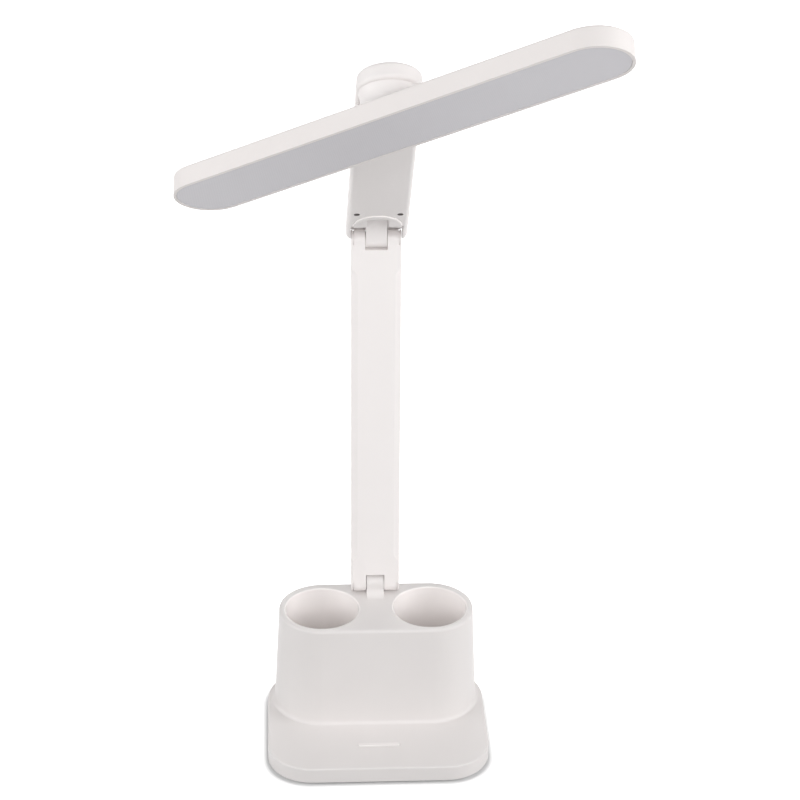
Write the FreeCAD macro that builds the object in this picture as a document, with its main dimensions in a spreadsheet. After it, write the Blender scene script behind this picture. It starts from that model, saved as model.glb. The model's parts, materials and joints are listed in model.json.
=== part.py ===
# Desk lamp: a base with two pen cups, a folding arm and neck, and a light bar that swivels.
# Millimetres. +Z up, the front is -Y, the origin is the middle of the foot pad's underside.
import FreeCAD, Part
import math
import os
import Sketcher
from types import SimpleNamespace

DRIVING_SIZES = [
    # Base plate and shelf
    ("plate_depth", 106.0, "base plate, front to back"),
    ("plate_front_radius", 26.0, "front corners in plan"),
    ("plate_rear_radius", 33.0, "rear corners in plan"),
    ("pad_thickness", 1.6, "foot pad, lifts the rim off the table"),
    ("pad_inset", 5.0, "foot pad's edge from the bottom plate's edge"),
    ("rim_height", 9.3, "upright rim of the plate"),
    ("rim_edge_radius", 0.9, "rounding along the top of the rim"),
    ("shell_wall", 2.2, "wall of the base housing"),
    ("shelf_thickness", 2.4, "roof of the plate, the shelf"),
    ("cover_thickness", 2.0, "bottom plate"),
    ("cover_gap", 0.2, "bottom plate's gap inside the rim"),
    # Cup body
    ("deck_height", 74.1, "top of the cup body above the table"),
    ("deck_thickness", 2.4, "top wall of the cup body"),
    ("deck_edge_radius", 2.0, "rounding round the top"),
    ("body_top_radius", 25.6, "round ends of the cup body at the top"),
    ("body_bottom_radius", 28.8, "round ends of the cup body at the shelf"),
    ("body_top_stretch", 2.0, "cup body deeper than its round ends, at the top"),
    ("body_foot_stretch", 0.4, "cup body deeper than its round ends, at the shelf"),
    ("body_root_radius", 2.2, "hollow rounding where the body meets the shelf"),
    ("body_rear_margin", 3.7, "shelf left behind the cup body"),
    ("body_side_margin", 4.2, "shelf left beside the cup body, each side"),
    ("cup_spacing", 64.0, "between the two cups' axes"),
    ("cup_radius", 21.9, "inside of a cup"),
    ("cup_wall", 2.0, "wall of a cup inside the body"),
    ("cup_floor_height", 14.0, "inside floor of a cup above the table"),
    ("cup_floor_thickness", 2.0, "floor of a cup"),
    ("cup_lip_radius", 0.9, "rounding of a cup's lip"),
    # Screws and posts of the bottom plate
    ("post_radius", 3.6, "screw posts"),
    ("post_side_inset", 18.0, "front screw posts, from the plate's sides"),
    ("post_front_inset", 19.0, "front screw posts, from the plate's front"),
    ("screw_radius", 1.3, "small screws, shank"),
    ("screw_head_radius", 2.6, "small screws, head"),
    ("screw_head_height", 1.2, "small screws, head"),
    ("screw_length", 6.0, "bottom plate screws, shank"),
    ("screw_gap", 0.05, "room round a shank"),
    ("head_gap", 0.15, "room round a screw head"),
    # What the base holds
    ("ballast_width", 80.0, "steel weight, side to side"),
    ("ballast_thickness", 3.6, "steel weight"),
    ("ballast_margin", 7.0, "steel weight behind the plate's front"),
    ("ballast_gap", 6.0, "between the steel weight and the cell"),
    ("battery_width", 50.0, "flat cell, side to side"),
    ("battery_depth", 28.0, "flat cell, front to back"),
    ("battery_thickness", 6.0, "flat cell"),
    ("battery_corner", 2.0, "flat cell, corners"),
    ("board_width", 44.0, "control board, side to side"),
    ("board_depth", 10.5, "control board, front to back"),
    ("board_thickness", 1.0, "control board"),
    ("board_margin", 1.95, "control board's rear edge from the rim's inside"),
    ("board_lift", 0.6, "control board above the bottom plate"),
    ("board_post_radius", 2.5, "posts under the control board"),
    ("board_post_x", 17.0, "posts under the control board, from the middle"),
    ("socket_width", 8.9, "charging socket"),
    ("socket_height", 3.2, "charging socket"),
    ("socket_length", 7.4, "charging socket"),
    ("socket_wall", 0.35, "charging socket's metal sleeve"),
    ("socket_recess", 0.6, "charging socket behind the rim's face"),
    ("socket_gap", 0.2, "room round the charging socket"),
    ("socket_depth", 6.0, "charging socket's opening"),
    ("tongue_width", 6.6, "contact tongue in the charging socket"),
    ("tongue_height", 0.7, "contact tongue in the charging socket"),
    ("tongue_length", 4.6, "contact tongue in the charging socket"),
    ("key_length", 24.7, "touch key on the shelf"),
    ("key_width", 2.7, "touch key on the shelf"),
    ("key_raise", 0.6, "touch key above the shelf"),
    ("key_gap", 0.1, "room round the touch key"),
    ("key_flange", 1.0, "touch key's flange, outward"),
    ("key_flange_thickness", 0.8, "touch key's flange under the shelf"),
    ("key_edge_radius", 0.4, "touch key's top edge"),
    ("key_offset", 0.65, "touch key behind the middle of the shelf"),
    ("foil_thickness", 0.3, "sensing foil under the touch key"),
    # Hinges
    ("hinge_setback", 19.8, "lower hinge axis, behind the cups' axes"),
    ("arm_round", 5.4, "round ends of the arm, half its thickness"),
    ("lower_knuckle_radius", 6.3, "knuckle on the base"),
    ("upper_knuckle_radius", 4.65, "barrel on the neck"),
    ("deck_clearance", 0.35, "arm's fork above the deck"),
    ("lower_knuckle_width", 10.2, "knuckle on the base"),
    ("upper_knuckle_width", 12.0, "barrel on the neck"),
    ("knuckle_root_radius", 5.0, "hollow rounding ahead of the base knuckle"),
    ("hinge_side_gap", 0.35, "between a knuckle and a fork's tine"),
    ("bolt_radius", 1.5, "hinge bolts"),
    ("bolt_head_radius", 2.8, "hinge bolt heads"),
    ("bolt_head_height", 1.8, "hinge bolt heads"),
    ("bolt_sink", 0.4, "bolt ends below the arm's sides"),
    ("nut_radius", 2.9, "hinge nuts, across corners"),
    ("nut_height", 2.2, "hinge nuts"),
    ("running_gap", 0.06, "running fit round a bolt or spindle"),
    ("washer_radius", 4.2, "friction washers"),
    ("washer_thickness", 0.28, "friction washers"),
    # Arm
    ("arm_width", 28.6, "arm, side to side"),
    ("arm_length", 215.4, "between the two hinge axes"),
    ("arm_lean_angle", 5.8, "degrees that the arm leans back"),
    ("lower_slot_depth", 6.8, "lower fork's slot beyond the axis"),
    ("upper_slot_depth", 5.0, "upper fork's slot beyond the axis"),
    ("chamfer_width", 3.6, "stopped chamfers along the arm's front"),
    ("chamfer_slope_angle", 20.0, "degrees that the chamfers fall away"),
    ("chamfer_start", 15.5, "stopped chamfers, from each hinge axis"),
    ("chamfer_runout", 4.0, "slanted end of a chamfer"),
    ("chamfer_overrun", 3.6, "chamfer's cut beyond the arm's side"),
    ("arm_edge_radius", 0.8, "rounding of the arm's long edges and tines"),
    ("groove_spread", 26.1, "between the ring grooves on the two tines of a fork"),
    ("groove_width", 0.7, "ring grooves on the tines"),
    ("groove_depth", 0.8, "ring grooves on the tines"),
    ("groove_overrun", 0.6, "ring grooves' cut beyond the tines"),
    ("groove_run", 2.0, "ring grooves past the hinge axis, along the arm"),
    ("arm_cover_width", 22.6, "arm's back cover"),
    ("arm_cover_end", 15.0, "arm's back cover, from each hinge axis"),
    ("arm_cover_thickness", 2.0, "arm's back cover"),
    ("arm_cover_corner", 3.0, "arm's back cover, corners"),
    ("arm_cover_gap", 0.15, "room round the back cover"),
    ("arm_wall", 2.6, "arm's front wall"),
    ("arm_hollow_width", 18.0, "wire space in the arm"),
    ("arm_hollow_end", 20.0, "wire space, from each hinge axis"),
    ("arm_post_end", 34.0, "screw posts in the arm, from each hinge axis"),
    ("arm_screw_length", 4.0, "back cover screws, shank"),
    # Neck
    ("neck_length", 190.5, "upper hinge axis to the swivel axis"),
    ("neck_fold_angle", 50.2, "degrees that the neck is folded forward of the arm's line"),
    ("neck_foot_width", 34.8, "neck at the hinge"),
    ("neck_tip_width", 32.6, "neck's round end"),
    ("neck_thickness", 9.6, "neck"),
    ("neck_front", 1.3, "neck's front face ahead of the hinge axis"),
    ("neck_cover_thickness", 3.0, "neck's front half"),
    ("neck_edge_radius", 2.7, "rounding along the neck's edges"),
    ("neck_foot_drop", 1.0, "neck's foot below the hinge axis"),
    ("neck_corner_radius", 7.0, "neck's foot corners in plan"),
    ("neck_wall", 2.2, "neck's walls"),
    ("neck_hollow_start", 13.0, "wire space in the neck, from the hinge axis"),
    ("cheek_gap", 0.4, "between the fork's sides and the neck's cheeks"),
    ("hinge_clearance", 0.5, "round the arm's tines inside the neck"),
    ("fold_relief", 21.5, "neck's front edge from the hinge axis, room to fold"),
    ("neck_screw_x", 12.0, "neck screws, from the middle"),
    ("neck_screw_end", 38.4, "neck screws, from the hinge axis"),
    ("neck_screw_radius", 0.9, "neck screws, shank"),
    ("neck_screw_head_radius", 1.5, "neck screws, head"),
    ("neck_screw_head_height", 0.8, "neck screws, head"),
    ("neck_screw_sink", 1.5, "neck screw heads below the front face"),
    ("neck_screw_length", 4.4, "neck screws, shank"),
    ("neck_post_radius", 2.6, "screw posts in the neck"),
    ("hood_raise", 0.7, "raised hood on the neck's front at the hinge"),
    ("hood_radius", 13.6, "raised hood, a disc cut off at the fold"),
    ("hood_end", 36.7, "raised hood's top, from the hinge axis"),
    ("hood_edge_radius", 0.65, "rounding of the hood's edge"),
    ("notch_end", 33.0, "notch in the hood above the barrel, from the hinge axis"),
    ("notch_gap", 0.1, "notch wider than the barrel, each side"),
    ("notch_corner", 2.0, "notch, corners"),
    ("notch_mouth_radius", 2.0, "rounding where the notch opens at the hood's lower edge"),
    ("web_slope_angle", 45.6, "degrees that the barrel's web rises toward the neck's back"),
    # Head swivel
    ("swivel_radius", 10.0, "swivel bosses on the neck and the bar"),
    ("neck_boss_height", 5.4, "swivel boss on the neck"),
    ("head_boss_height", 5.4, "swivel boss on the bar"),
    ("swivel_gap", 0.3, "between the two bosses"),
    ("boss_root_radius", 1.5, "hollow rounding at the bosses' roots"),
    ("spindle_radius", 3.5, "swivel spindle"),
    ("spindle_bore", 2.0, "wire way through the spindle"),
    ("spindle_flange_radius", 6.5, "spindle's flange inside the bar"),
    ("spindle_flange_thickness", 1.5, "spindle's flange"),
    ("spindle_seat_gap", 0.05, "spindle in the bar's bore"),
    ("spring_radius", 5.6, "spring washer on the spindle"),
    ("spring_thickness", 0.6, "spring washer"),
    ("spring_gap", 0.05, "play beside the spring washer"),
    ("swivel_nut_radius", 5.6, "swivel nut, across corners"),
    ("swivel_nut_height", 2.0, "swivel nut"),
    ("spindle_end", 0.4, "spindle beyond its nut"),
    # Light bar
    ("head_turn_angle", 39.3, "degrees that the bar is turned from level"),
    ("bar_length", 269.5, "light bar"),
    ("bar_width", 37.5, "light bar"),
    ("bar_thickness", 11.1, "light bar"),
    ("bar_rim", 1.6, "rim round the diffuser"),
    ("bar_ledge", 1.2, "ledge under the diffuser"),
    ("bar_back", 1.6, "back wall of the bar"),
    ("bar_edge_radius", 1.5, "rounding along the back of the bar"),
    ("diffuser_thickness", 1.6, "diffuser"),
    ("diffuser_recess", 0.2, "diffuser below the rim"),
    ("diffuser_gap", 0.15, "room round the diffuser"),
    ("strip_length", 232.0, "light strip's board"),
    ("strip_width", 16.0, "light strip's board"),
    ("strip_thickness", 1.2, "light strip's board"),
    ("strip_hole_radius", 7.4, "hole in the strip round the spindle"),
    ("chip_pitch", 11.0, "between the light chips"),
    ("chip_length", 3.5, "light chip"),
    ("chip_width", 2.8, "light chip"),
    ("chip_height", 0.8, "light chip"),
]
CHIPS_PER_SIDE = 10

doc = FreeCAD.newDocument("DeskLamp")
sheet = doc.addObject("Spreadsheet::Sheet", "Sizes")


class Size:
    """A length or an angle: its value, and the sheet expression that drives it."""

    def __init__(self, value, text):
        self.value = value
        self.text = text

    def __add__(self, other):
        other = as_size(other)
        return Size(self.value + other.value, f"({self.text} + {other.text})")

    def __sub__(self, other):
        other = as_size(other)
        return Size(self.value - other.value, f"({self.text} - {other.text})")

    def __mul__(self, factor):
        factor = as_size(factor)
        return Size(self.value * factor.value, f"({self.text} * {factor.text})")

    def __truediv__(self, divisor):
        return Size(self.value / divisor, f"({self.text} / {divisor})")

    def __neg__(self):
        return Size(-self.value, f"(0 - {self.text})")


def as_size(item):
    """A plain number as a Size."""
    return item if isinstance(item, Size) else Size(float(item), f"({float(item)})")


def sine(angle):
    """Sine of an angle in degrees, as a factor."""
    return Size(math.sin(math.radians(angle.value)), f"sin({angle.text})")


def cosine(angle):
    """Cosine of an angle in degrees, as a factor."""
    return Size(math.cos(math.radians(angle.value)), f"cos({angle.text})")


def tangent(angle):
    """Tangent of an angle in degrees, as a factor."""
    return Size(math.tan(math.radians(angle.value)), f"tan({angle.text})")


def fill_sheet():
    """Write the driving sizes into the sheet and hand them back by name."""
    named = {}
    for row, (alias, value, meaning) in enumerate(DRIVING_SIZES, start=1):
        sheet.set(f"A{row}", alias)
        sheet.set(f"B{row}", str(value))
        sheet.set(f"C{row}", meaning)
        sheet.setAlias(f"B{row}", alias)
        named[alias] = Size(value, f"Sizes.{alias}")
    doc.recompute()
    return SimpleNamespace(**named)


s = fill_sheet()

# The base plate, side to side
plate_width = s.cup_spacing + (s.body_bottom_radius + s.body_side_margin) * 2

# Places from front to back
plate_front = -(s.plate_depth / 2)
body_centre = s.plate_depth / 2 - s.body_rear_margin - s.body_bottom_radius
body_front = body_centre - s.body_bottom_radius
hinge_y = body_centre + s.hinge_setback
key_centre = (plate_front + body_front) / 2 + s.key_offset
board_centre = s.plate_depth / 2 - s.shell_wall - s.board_margin - s.board_depth / 2
post_x = plate_width / 2 - s.post_side_inset
post_y = plate_front + s.post_front_inset

# Heights above the table
rim_bottom = s.pad_thickness
cover_top = rim_bottom + s.cover_thickness
plate_top = rim_bottom + s.rim_height
shelf_underside = plate_top - s.shelf_thickness
cup_underside = s.cup_floor_height - s.cup_floor_thickness
hinge_z = s.deck_height + s.arm_round + s.deck_clearance

# Fits
shank_hole = s.screw_radius + s.screw_gap
head_hole = s.screw_head_radius + s.head_gap
bolt_hole = s.bolt_radius + s.running_gap
spindle_hole = s.spindle_radius + s.running_gap
lower_slot_width = s.lower_knuckle_width + s.hinge_side_gap * 2
upper_slot_width = s.upper_knuckle_width + s.hinge_side_gap * 2
fork_room = s.arm_width + s.cheek_gap * 2

# The neck's and the bar's faces, as distances ahead of the upper hinge axis
neck_split = s.neck_front - s.neck_cover_thickness
neck_back = s.neck_front - s.neck_thickness
neck_boss_face = s.neck_front + s.neck_boss_height
bar_back_face = neck_boss_face + s.swivel_gap + s.head_boss_height
bar_floor = bar_back_face + s.bar_back
bar_front = bar_back_face + s.bar_thickness
hood_front = s.neck_front + s.hood_raise


def shift(x, y, z):
    """Expression for a move without a turn."""
    x, y, z = as_size(x), as_size(y), as_size(z)
    return (f"create(<<placement>>; create(<<vector>>; {x.text}; {y.text}; {z.text}); "
            f"create(<<rotation>>; 0; 0; 0))")


def turn(axis, angle):
    """Expression for a turn about an axis through the origin."""
    return (f"create(<<placement>>; create(<<vector>>; 0; 0; 0); "
            f"create(<<rotation>>; create(<<vector>>; {axis}); {as_size(angle).text}))")


# Each moving body is drawn in its own frame: X across, Z along the body, -Y to the front.
X_AXIS = "1; 0; 0"
Y_AXIS = "0; 1; 0"
ARM_FRAME = shift(0, hinge_y, hinge_z) + " * " + turn(X_AXIS, -s.arm_lean_angle)
NECK_FRAME = ARM_FRAME + " * " + shift(0, 0, s.arm_length) + " * " + turn(X_AXIS, s.neck_fold_angle)
HEAD_FRAME = NECK_FRAME + " * " + shift(0, 0, s.neck_length) + " * " + turn(Y_AXIS, -s.head_turn_angle)

bodies = []


def new_body(label, frame=None):
    """A sub-part of its own, placed in the frame of the body that carries it."""
    body = doc.addObject("PartDesign::Body", label)
    body.Label = label
    if frame:
        body.setExpression("Placement", frame)
    bodies.append(body)
    return body


def bind(item, prop, size):
    """Drive a property from the sheet."""
    item.setExpression(prop, as_size(size).text)


def sketch_on(body, plane_role, offset=None):
    """A sketch on one of the body's origin planes, moved along the plane's normal."""
    sketch = body.newObject("Sketcher::SketchObject", f"{body.Label}_sketch")
    plane = [item for item in body.Origin.OriginFeatures if item.Role == plane_role][0]
    sketch.AttachmentSupport = (plane, "")
    sketch.MapMode = "FlatFace"
    if offset is not None:
        bind(sketch, "AttachmentOffset.Base.z", offset)
    return sketch


def from_above(body, height):
    """A sketch at a height; its normal points up."""
    return sketch_on(body, "XY_Plane", height)


def from_front(body, ahead=None):
    """A sketch facing the front, at a distance ahead of the axis; its normal is -Y."""
    return sketch_on(body, "XZ_Plane", ahead)


def from_side(body, across=0):
    """A sketch seen from the side, in Y and Z; its normal is +X."""
    return sketch_on(body, "YZ_Plane", across)


def pin_point(sketch, index, end, x, y):
    """Tie one point of a sketch to its sizes."""
    for kind, axis, size in (("DistanceX", -2, as_size(x)), ("DistanceY", -1, as_size(y))):
        if size.value == 0:
            sketch.addConstraint(Sketcher.Constraint("PointOnObject", index, end, axis))
        else:
            number = sketch.addConstraint(Sketcher.Constraint(kind, -1, 1, index, end, size.value))
            bind(sketch, f"Constraints[{number}]", size)


def set_radius(sketch, index, radius):
    """Tie an arc's or a circle's radius to its size."""
    number = sketch.addConstraint(Sketcher.Constraint("Radius", index, radius.value))
    bind(sketch, f"Constraints[{number}]", radius)


def draw_circle(sketch, x, y, radius):
    """A circle about (x, y)."""
    x, y = as_size(x), as_size(y)
    centre = FreeCAD.Vector(x.value, y.value, 0)
    index = sketch.addGeometry(Part.Circle(centre, FreeCAD.Vector(0, 0, 1), radius.value), False)
    pin_point(sketch, index, 3, x, y)
    set_radius(sketch, index, radius)


def draw_polygon(sketch, points):
    """Straight lines from point to point, closed."""
    points = [(as_size(x), as_size(y)) for x, y in points]
    vectors = [FreeCAD.Vector(x.value, y.value, 0) for x, y in points]
    lines = []
    for start, end in zip(vectors, vectors[1:] + vectors[:1]):
        lines.append(sketch.addGeometry(Part.LineSegment(start, end), False))
    for line, following in zip(lines, lines[1:] + lines[:1]):
        sketch.addConstraint(Sketcher.Constraint("Coincident", line, 2, following, 1))
    for line, (x, y) in zip(lines, points):
        pin_point(sketch, line, 1, x, y)


def draw_rectangle(sketch, left, right, low, high):
    """A rectangle with square corners."""
    draw_polygon(sketch, [(left, low), (right, low), (right, high), (left, high)])


def draw_outline(sketch, corners):
    """A convex outline of round corners (x, y, radius), in turn, joined by tangent lines."""
    corners = [(as_size(x), as_size(y), radius) for x, y, radius in corners]
    following = corners[1:] + corners[:1]
    normals = []
    for (x1, y1, r1), (x2, y2, r2) in zip(corners, following):
        dx, dy = x2.value - x1.value, y2.value - y1.value
        span = math.hypot(dx, dy)
        lean = (r1.value - r2.value) / span
        square = math.sqrt(1 - lean * lean)
        normals.append(((dy * square + dx * lean) / span, (dy * lean - dx * square) / span))
    arcs, lines = [], []
    for k, (x, y, radius) in enumerate(corners):
        start = math.atan2(normals[k - 1][1], normals[k - 1][0])
        end = math.atan2(normals[k][1], normals[k][0])
        circle = Part.Circle(FreeCAD.Vector(x.value, y.value, 0), FreeCAD.Vector(0, 0, 1), radius.value)
        arcs.append(sketch.addGeometry(Part.ArcOfCircle(circle, start, end), False))
    for k, ((x1, y1, r1), (x2, y2, r2)) in enumerate(zip(corners, following)):
        nx, ny = normals[k]
        start = FreeCAD.Vector(x1.value + r1.value * nx, y1.value + r1.value * ny, 0)
        end = FreeCAD.Vector(x2.value + r2.value * nx, y2.value + r2.value * ny, 0)
        lines.append(sketch.addGeometry(Part.LineSegment(start, end), False))
    for arc, line, next_arc in zip(arcs, lines, arcs[1:] + arcs[:1]):
        sketch.addConstraint(Sketcher.Constraint("Tangent", arc, 2, line, 1))
        sketch.addConstraint(Sketcher.Constraint("Tangent", line, 2, next_arc, 1))
    for arc, (x, y, radius) in zip(arcs, corners):
        pin_point(sketch, arc, 3, x, y)
        set_radius(sketch, arc, radius)


def draw_stadium(sketch, x, y, length, width):
    """A bar with round ends, along the sketch's first axis."""
    reach = (length - width) / 2
    draw_outline(sketch, [(as_size(x) - reach, y, width / 2), (as_size(x) + reach, y, width / 2)])


def draw_rounded(sketch, left, right, low, high, radius):
    """A rectangle with four equal round corners."""
    left, right, low, high = as_size(left), as_size(right), as_size(low), as_size(high)
    draw_outline(sketch, [(left + radius, low + radius, radius), (right - radius, low + radius, radius),
                          (right - radius, high - radius, radius), (left + radius, high - radius, radius)])


def draw_hexagon(sketch, x, y, radius):
    """A hexagon with two corners in line with the sketch's first axis."""
    x, y = as_size(x), as_size(y)
    points = []
    for k in range(6):
        angle = math.radians(60 * k)
        points.append((x + radius * round(math.cos(angle), 6), y + radius * round(math.sin(angle), 6)))
    draw_polygon(sketch, points)


def draw_ring_round_end(sketch, height, inner, outer, run, way):
    """A ring round one end of the arm, open toward its middle; way is 1 at the top, -1 at the bottom."""
    height = as_size(height)
    ends = height - run * way
    centre = FreeCAD.Vector(0, height.value, 0)
    arcs = []
    for radius in (inner, outer):
        past = math.asin(run.value / radius.value)
        start, end = (-past, math.pi + past) if way > 0 else (math.pi - past, 2 * math.pi + past)
        circle = Part.Circle(centre, FreeCAD.Vector(0, 0, 1), radius.value)
        arcs.append(sketch.addGeometry(Part.ArcOfCircle(circle, start, end), False))
        pin_point(sketch, arcs[-1], 3, 0, height)
        set_radius(sketch, arcs[-1], radius)
    for end in (1, 2):
        corners = [sketch.getPoint(arc, end) for arc in arcs]
        line = sketch.addGeometry(Part.LineSegment(*corners), False)
        for line_end, arc in zip((1, 2), arcs):
            sketch.addConstraint(Sketcher.Constraint("Coincident", line, line_end, arc, end))
            number = sketch.addConstraint(Sketcher.Constraint("DistanceY", -1, 1, arc, end, ends.value))
            bind(sketch, f"Constraints[{number}]", ends)


FORWARD, BACKWARD, BOTH_WAYS = "forward", "backward", "both ways"
CLOSE = 0.001


def pad(body, sketch, length, way=FORWARD):
    """Add material along the sketch's normal, against it, or half each way."""
    feature = body.newObject("PartDesign::Pad", f"{body.Label}_pad")
    feature.Profile = sketch
    feature.Reversed = way == BACKWARD
    if way == BOTH_WAYS:
        feature.SideType = "Symmetric"
    bind(feature, "Length", length)
    doc.recompute()
    return feature


def cut(body, sketch, length, way=BACKWARD):
    """Take material away along the sketch's normal, against it, or half each way."""
    before = body.Tip.Shape.Volume
    feature = body.newObject("PartDesign::Pocket", f"{body.Label}_cut")
    feature.Profile = sketch
    feature.Reversed = way == FORWARD
    if way == BOTH_WAYS:
        feature.SideType = "Symmetric"
    bind(feature, "Length", length)
    doc.recompute()
    if feature.Shape.isNull() or feature.Shape.Volume > before - CLOSE:
        raise RuntimeError(f"{feature.Label} takes nothing away")
    return feature


def loft(body, kind, first, last):
    """Blend straight from one sketch to another, adding or taking away."""
    feature = body.newObject(f"PartDesign::{kind}Loft", f"{body.Label}_loft")
    feature.Profile = first
    feature.Sections = [last]
    feature.Ruled = True
    doc.recompute()
    return feature


def middle_of(edge):
    """The point half way along an edge."""
    return edge.valueAt((edge.FirstParameter + edge.LastParameter) / 2)


def lies_at(edge, axis, size):
    """Whether an edge lies in the plane where one coordinate has this value."""
    points = [vertex.Point for vertex in edge.Vertexes] + [middle_of(edge)]
    return all(abs(getattr(point, axis) - as_size(size).value) < CLOSE for point in points)


def is_ring(edge, radius):
    """Whether an edge is a whole circle of this radius, seen along Y or Z."""
    return abs(edge.BoundBox.XLength - 2 * radius.value) < CLOSE


def round_edges(body, radius, choose):
    """Round the edges that a test picks from the body so far."""
    names = [f"Edge{k}" for k, edge in enumerate(body.Tip.Shape.Edges, start=1) if choose(edge)]
    if not names:
        raise RuntimeError(f"no edge to round on {body.Label}")
    base = body.Tip
    feature = body.newObject("PartDesign::Fillet", f"{body.Label}_round")
    feature.Base = (base, names)
    bind(feature, "Radius", radius)
    doc.recompute()
    return feature


def plate_outline(sketch, inset=0):
    """The base plate in plan: wide round corners at the front, wider ones at the rear."""
    inset = as_size(inset)
    side = plate_width / 2
    end = s.plate_depth / 2
    front, rear = s.plate_front_radius, s.plate_rear_radius
    draw_outline(sketch, [(front - side, front - end, front - inset),
                          (side - front, front - end, front - inset),
                          (side - rear, end - rear, rear - inset),
                          (rear - side, end - rear, rear - inset)])


def body_outline(sketch, radius, stretch):
    """The cup body in plan: round ends about the cups' axes, stretched to the rear."""
    side, rear = s.cup_spacing / 2, body_centre + stretch
    draw_outline(sketch, [(-side, body_centre, radius), (side, body_centre, radius),
                          (side, rear, radius), (-side, rear, radius)])


def key_outline(sketch, grow=0):
    """The touch key in plan."""
    grow = as_size(grow)
    draw_stadium(sketch, 0, key_centre, s.key_length + grow * 2, s.key_width + grow * 2)


def socket_outline(sketch, grow=0):
    """The charging socket seen from behind; it stands on the control board."""
    grow = as_size(grow)
    height = cover_top + s.board_lift + s.board_thickness + s.socket_height / 2
    draw_stadium(sketch, 0, height, s.socket_width + grow * 2, s.socket_height + grow * 2)


def at_posts(sketch, radius):
    """A circle at each of the four screw posts."""
    for x, y in ((post_x, post_y), (s.cup_spacing / 2, body_centre)):
        draw_circle(sketch, -x, y, radius)
        draw_circle(sketch, x, y, radius)


def base_shell():
    """Moulded housing: rim and shelf, cup body with two wells, hinge knuckle, screw posts."""
    body = new_body("base_shell")
    plan = from_above(body, rim_bottom)
    plate_outline(plan)
    pad(body, plan, s.rim_height)
    round_edges(body, s.rim_edge_radius, lambda edge: lies_at(edge, "z", plate_top))

    foot, top = from_above(body, plate_top), from_above(body, s.deck_height)
    body_outline(foot, s.body_bottom_radius, s.body_foot_stretch)
    body_outline(top, s.body_top_radius, s.body_top_stretch)
    loft(body, "Additive", foot, top)
    reach = (s.cup_spacing / 2 + s.body_bottom_radius).value + CLOSE
    front = body_front.value - CLOSE

    def at_body_root(edge):
        box = edge.BoundBox
        return lies_at(edge, "z", plate_top) and max(-box.XMin, box.XMax) < reach and box.YMin > front

    round_edges(body, s.body_root_radius, at_body_root)
    round_edges(body, s.deck_edge_radius, lambda edge: lies_at(edge, "z", s.deck_height))

    inside = from_above(body, rim_bottom)
    plate_outline(inside, s.shell_wall)
    cut(body, inside, shelf_underside - rim_bottom, FORWARD)
    low, high = from_above(body, shelf_underside), from_above(body, s.deck_height - s.deck_thickness)
    body_outline(low, s.body_bottom_radius - s.shell_wall, s.body_foot_stretch)
    body_outline(high, s.body_top_radius - s.shell_wall, s.body_top_stretch)
    loft(body, "Subtractive", low, high)

    tubes = from_above(body, cup_underside)
    wells = from_above(body, s.deck_height)
    for side in (-1, 1):
        draw_circle(tubes, s.cup_spacing * (side / 2), body_centre, s.cup_radius + s.cup_wall)
        draw_circle(wells, s.cup_spacing * (side / 2), body_centre, s.cup_radius)
    pad(body, tubes, s.deck_height - s.deck_thickness / 2 - cup_underside)
    cut(body, wells, s.deck_height - s.cup_floor_height)

    def at_cup_lip(edge):
        return lies_at(edge, "z", s.deck_height) and is_ring(edge, s.cup_radius)

    round_edges(body, s.cup_lip_radius, at_cup_lip)

    web, barrel = from_side(body), from_side(body)
    draw_rectangle(web, hinge_y - s.lower_knuckle_radius, hinge_y + s.lower_knuckle_radius,
                   s.deck_height - s.deck_thickness / 2, hinge_z)
    pad(body, web, s.lower_knuckle_width, BOTH_WAYS)

    def ahead_of_knuckle(edge):
        return lies_at(edge, "z", s.deck_height) and lies_at(edge, "y", hinge_y - s.lower_knuckle_radius)

    round_edges(body, s.knuckle_root_radius, ahead_of_knuckle)
    draw_circle(barrel, hinge_y, hinge_z, s.lower_knuckle_radius)
    pad(body, barrel, s.lower_knuckle_width, BOTH_WAYS)
    bore = from_side(body)
    draw_circle(bore, hinge_y, hinge_z, bolt_hole)
    cut(body, bore, s.lower_knuckle_width + s.hinge_side_gap, BOTH_WAYS)

    front_posts, rear_posts = from_above(body, cover_top), from_above(body, cover_top)
    pilots = from_above(body, cover_top)
    for side in (-1, 1):
        draw_circle(front_posts, post_x * side, post_y, s.post_radius)
        draw_circle(rear_posts, s.cup_spacing * (side / 2), body_centre, s.post_radius)
    pad(body, front_posts, shelf_underside + s.shelf_thickness / 2 - cover_top)
    pad(body, rear_posts, cup_underside + s.cup_floor_thickness / 2 - cover_top)
    at_posts(pilots, shank_hole)
    cut(body, pilots, s.screw_length - s.cover_thickness + s.screw_head_height + s.screw_gap, FORWARD)

    key_slot = from_above(body, plate_top)
    key_outline(key_slot, s.key_gap)
    cut(body, key_slot, s.shelf_thickness)
    inlet = from_front(body, -(s.plate_depth / 2))
    socket_outline(inlet, s.socket_gap)
    cut(body, inlet, s.shell_wall, FORWARD)


def base_cover():
    """Bottom plate inside the rim, with countersunk screw holes and posts for the board."""
    body = new_body("base_cover")
    plan = from_above(body, rim_bottom)
    plate_outline(plan, s.shell_wall + s.cover_gap)
    pad(body, plan, s.cover_thickness)
    heads, shanks = from_above(body, rim_bottom), from_above(body, rim_bottom)
    at_posts(heads, head_hole)
    cut(body, heads, s.screw_head_height, FORWARD)
    at_posts(shanks, shank_hole)
    cut(body, shanks, s.cover_thickness, FORWARD)
    posts = from_above(body, cover_top)
    for side in (-1, 1):
        draw_circle(posts, s.board_post_x * side, board_centre, s.board_post_radius)
    pad(body, posts, s.board_lift)


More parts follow.
